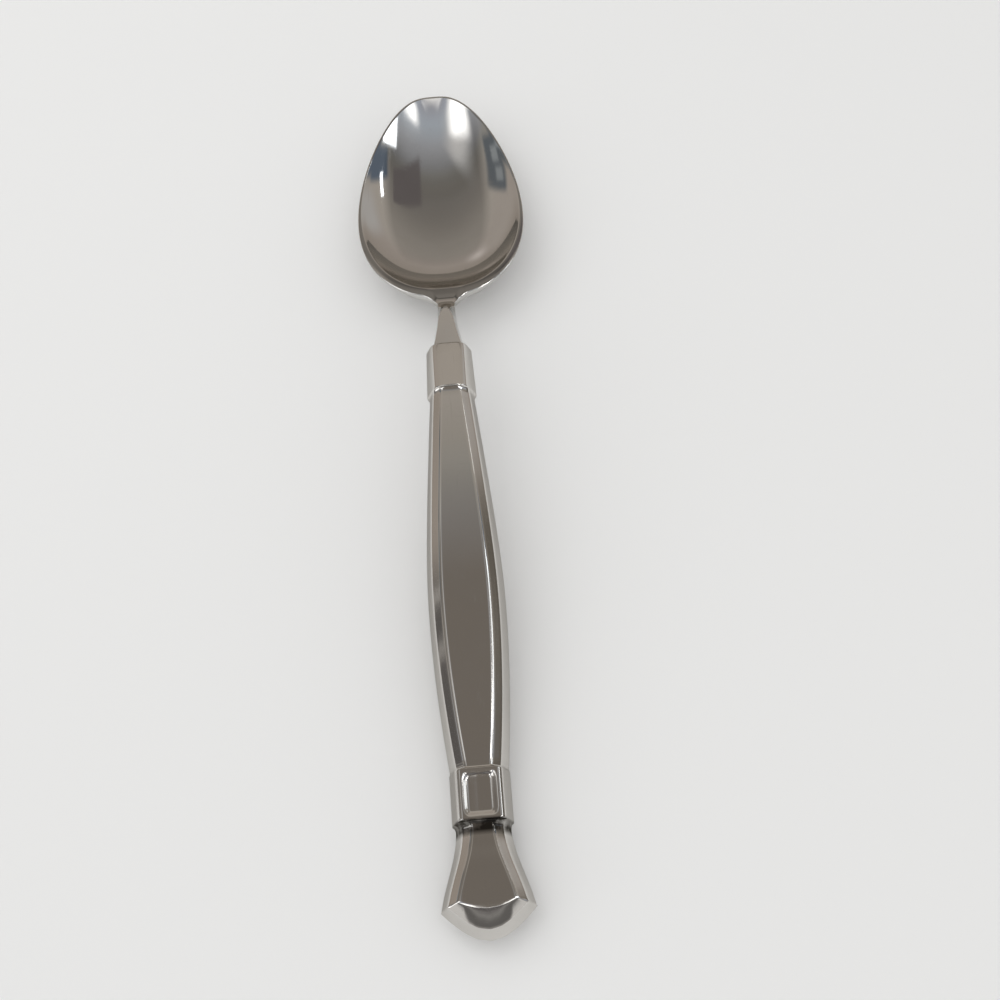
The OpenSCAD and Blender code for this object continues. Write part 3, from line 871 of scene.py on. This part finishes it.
def soft_box(turns, rises, soft):
    """Mask of a patch of the room between two bearings and two heights, in degrees, with soft edges."""
    mask = None
    for angle, (low, high) in ((turn, turns), (rise, rises)):
        for start, end in ((low - soft, low + soft), (high + soft, high - soft)):
            edge = add_node(tree, "ShaderNodeMapRange",
                            {0: angle, 1: math.radians(start), 2: math.radians(end)},
                            interpolation_type="SMOOTHSTEP").outputs[0]
            mask = edge if mask is None else calc(tree, "MULTIPLY", mask, edge)
    return mask


# Patches of the room, each over those before it: bearings from +Y, heights, softness and tone. Dark low
# walls with two gaps, pale walls, windows with their panes, and then the bright ceiling and walls.
room_tone = room.outputs[0]
room_patches = (
    ((64, 112), (-20, 16), 5, (0.15, 0.135, 0.115)),
    ((-112, -72), (-20, 15), 5, (0.13, 0.122, 0.118)),
    ((-75.6, -74), (-10, 20), 0.5, (0.42, 0.4, 0.38)),
    ((-80.6, -79.4), (-10, 20), 0.5, (0.42, 0.4, 0.38)),
    ((44, 62), (8, 22), 5, (0.49, 0.47, 0.45)),
    ((-58, -30), (8, 30), 6, (0.44, 0.395, 0.355)),
    ((-28, -18), (16, 24), 6, (0.67, 0.61, 0.57)),
    ((-77, -57), (17, 36), 2, (0.14, 0.155, 0.17)),
    ((-73, -68), (22, 29), 1, (0.31, 0.33, 0.345)),
    ((-66, -61), (20, 27), 1, (0.31, 0.33, 0.345)),
    ((65, 77), (20, 38), 2, (0.13, 0.16, 0.205)),
    ((-112, -55), (54, 76), 9, (0.73, 0.72, 0.71)),
    ((-112, -80), (51, 73), 6, (2.3, 2.3, 2.3)),
    ((95, 116), (57, 75), 4, (2.3, 2.3, 2.3)),
    ((-124, -94), (12, 48), 4, (2, 2, 2)),
    ((140, 181), (55, 80), 3, (2.2, 2.2, 2.2)),
    ((-181, -140), (55, 80), 3, (2.2, 2.2, 2.2)),
    ((124, 147), (-4, 27), 5, (0.75, 0.74, 0.73)),
    ((-147, -124), (-4, 27), 5, (0.75, 0.74, 0.73)))
for turns, rises, soft, tone in room_patches:
    room_tone = add_node(tree, "ShaderNodeMix",
                         {0: soft_box(turns, rises, soft), 6: room_tone, 7: (*tone, 1)},
                         data_type="RGBA").outputs[2]
path = add_node(tree, "ShaderNodeLightPath").outputs
lit = add_node(tree, "ShaderNodeMix", {0: path["Is Diffuse Ray"], 6: room_tone, 7: (*even_light, 1)},
               data_type="RGBA").outputs[2]
seen = add_node(tree, "ShaderNodeMix", {0: path["Is Camera Ray"], 6: lit, 7: (*backdrop, 1)},
                data_type="RGBA").outputs[2]
tree.links.new(seen, tree.nodes["Background"].inputs["Color"])


lamp_aim = Vector((0, 40, 10)) * mm


def panel(name, bearing, height, distance, size, radiance, colour, mirrored=True):
    """An area lamp at a bearing from +Y and a height above the table, in degrees, aimed at the spoon. It is
    either mirrored in the steel or lights the table."""
    lamp = bpy.data.lights.new(name, "AREA")
    lamp.shape = "RECTANGLE"
    lamp.size, lamp.size_y = size
    lamp.energy = radiance * size[0] * size[1] * math.pi
    lamp.color = colour
    obj = bpy.data.objects.new(name, lamp)
    b, h = math.radians(bearing), math.radians(height)
    towards = Vector((math.sin(b) * math.cos(h), math.cos(b) * math.cos(h), math.sin(h)))
    obj.location = lamp_aim + towards * distance
    obj.rotation_euler = towards.to_track_quat("Z", "Y").to_euler()
    obj.visible_diffuse = not mirrored
    obj.visible_glossy = mirrored
    bpy.context.scene.collection.objects.link(obj)


daylight = (0.9, 0.95, 1)
panel("right_panel", bearing=107, height=58, distance=0.8, size=(0.14, 0.2), radiance=14,
      colour=(1, 0.99, 0.97))
panel("window_near", bearing=85, height=38, distance=0.9, size=(0.25, 0.34), radiance=3, colour=daylight)
panel("window_far", bearing=61, height=31, distance=0.9, size=(0.13, 0.04), radiance=3, colour=daylight)
panel("table_light", bearing=-60, height=55, distance=0.55, size=(0.4, 0.4), radiance=0.7,
      colour=(1, 1, 0.995), mirrored=False)

# Camera: its place, its angles in degrees and its focal length in widths of the picture
camera_data = bpy.data.cameras.new("camera")
camera = bpy.data.objects.new("camera", camera_data)
bpy.context.scene.collection.objects.link(camera)
bpy.context.scene.camera = camera
camera_place = Vector((7.79, -121.97, 223.03)) * mm
yaw, pitch, roll = [math.radians(angle) for angle in (-0.528, 62.416, -5.367)]
focal_length = 1.43625
camera_data.sensor_width = 36
camera_data.lens = camera_data.sensor_width * focal_length
camera_data.clip_start = 0.01
ahead = Vector((math.sin(yaw) * math.cos(pitch), math.cos(yaw) * math.cos(pitch), -math.sin(pitch)))
level = Vector((math.cos(yaw), -math.sin(yaw), 0))
upward = level.cross(ahead)
right = level * math.cos(roll) + upward * math.sin(roll)
up = upward * math.cos(roll) - level * math.sin(roll)
camera.matrix_world = Matrix((right, up, -ahead)).transposed().to_4x4()
camera.location = camera_place
bpy.context.scene.view_settings.view_transform = "Standard"


def flag(name, low, high, height, tone, shares, soft, slant=0):
    """A soft-edged dark card between two corners, which shows only in reflections. Its shares are how much it
    hides at places along Y, and it fades out to both sides over a soft width. Lengths are in millimetres.
    With a slant its two ends climb along X."""
    bm = bmesh.new()
    bmesh.ops.create_grid(bm, x_segments=1, y_segments=1, size=0.5)
    centre = Vector(((low[0] + high[0]) / 2, (low[1] + high[1]) / 2, height))
    bmesh.ops.scale(bm, vec=Vector((high[0] - low[0], high[1] - low[1], 1)) * mm, verts=bm.verts)
    bmesh.ops.translate(bm, vec=centre * mm, verts=bm.verts)
    shear = Matrix(((1, 0, 0, 0), (slant, 1, 0, 0), (0, 0, 1, 0), (0, 0, 0, 1)))
    bmesh.ops.transform(bm, matrix=shear, verts=bm.verts)
    mesh = bpy.data.meshes.new(name)
    bm.to_mesh(mesh)
    bm.free()
    card = bpy.data.objects.new(name, mesh)
    bpy.context.scene.collection.objects.link(card)
    card.visible_camera = False
    card.visible_diffuse = False
    card.visible_shadow = False
    material = bpy.data.materials.new(name)
    material.use_nodes = True
    tree = material.node_tree
    place = add_node(tree, "ShaderNodeSeparateXYZ",
                     {0: add_node(tree, "ShaderNodeTexCoord").outputs["Object"]}).outputs
    along = calc(tree, "SUBTRACT", place["Y"], calc(tree, "MULTIPLY", place["X"], slant))
    hidden = add_node(tree, "ShaderNodeValToRGB", {0: remap(tree, along, low[1] * mm, high[1] * mm, 0, 1)})
    stops = hidden.color_ramp.elements
    for k, (y, share) in enumerate(shares):
        stop = stops[k] if k < 2 else stops.new(1)
        stop.position = (y - low[1]) / (high[1] - low[1])
        stop.color = (share, share, share, 1)
    sides = calc(tree, "MULTIPLY", remap(tree, place["X"], low[0] * mm, (low[0] + soft) * mm, 0, 1),
                 remap(tree, place["X"], high[0] * mm, (high[0] - soft) * mm, 0, 1))
    cover = calc(tree, "MULTIPLY", hidden.outputs[0], sides)
    clear = add_node(tree, "ShaderNodeBsdfTransparent").outputs[0]
    dark = add_node(tree, "ShaderNodeEmission", {"Color": (*tone, 1)}).outputs[0]
    mixed = add_node(tree, "ShaderNodeMixShader", {0: cover, 1: clear, 2: dark}).outputs[0]
    tree.links.new(mixed, tree.nodes["Material Output"].inputs["Surface"])
    card.data.materials.append(material)


card_brown = (0.2, 0.18, 0.16)
card_black = (0, 0, 0)
flag("handle_flag", (-50, -220), (50, 65), height=camera_place.z / mm, tone=(0.206, 0.183, 0.161),
     shares=((-220, 1), (10, 1), (45, 0.4), (65, 0)), soft=25)
flag("bowl_flag", (-61, 74), (67, 202), height=60, tone=card_black,
     shares=((75, 0), (80, 0.15), (84, 0.45), (87.5, 0.54), (96, 0.48), (111, 0.33), (130, 0.25),
             (168, 0.1), (200, 0)), soft=20)
flag("door_flag", (10, 75), (43, 88), height=59, tone=(0.14, 0.124, 0.124),
     shares=((75, 0), (76.2, 0.9), (86.8, 0.9), (88, 0)), soft=2, slant=0.28)
flag("left_flag", (-100, -72), (-16, 2), height=60, tone=card_brown,
     shares=((-72, 0), (-64, 0.85), (-6, 0.85), (2, 0)), soft=9)
flag("right_flag", (15, -72), (95, 2), height=61, tone=card_brown,
     shares=((-72, 0), (-64, 0.6), (-6, 0.6), (2, 0)), soft=9)
flag("heel_flag", (-17, 43), (17, 61), height=30, tone=card_black,
     shares=((43, 0), (47, 0.5), (57, 0.5), (61, 0)), soft=5)
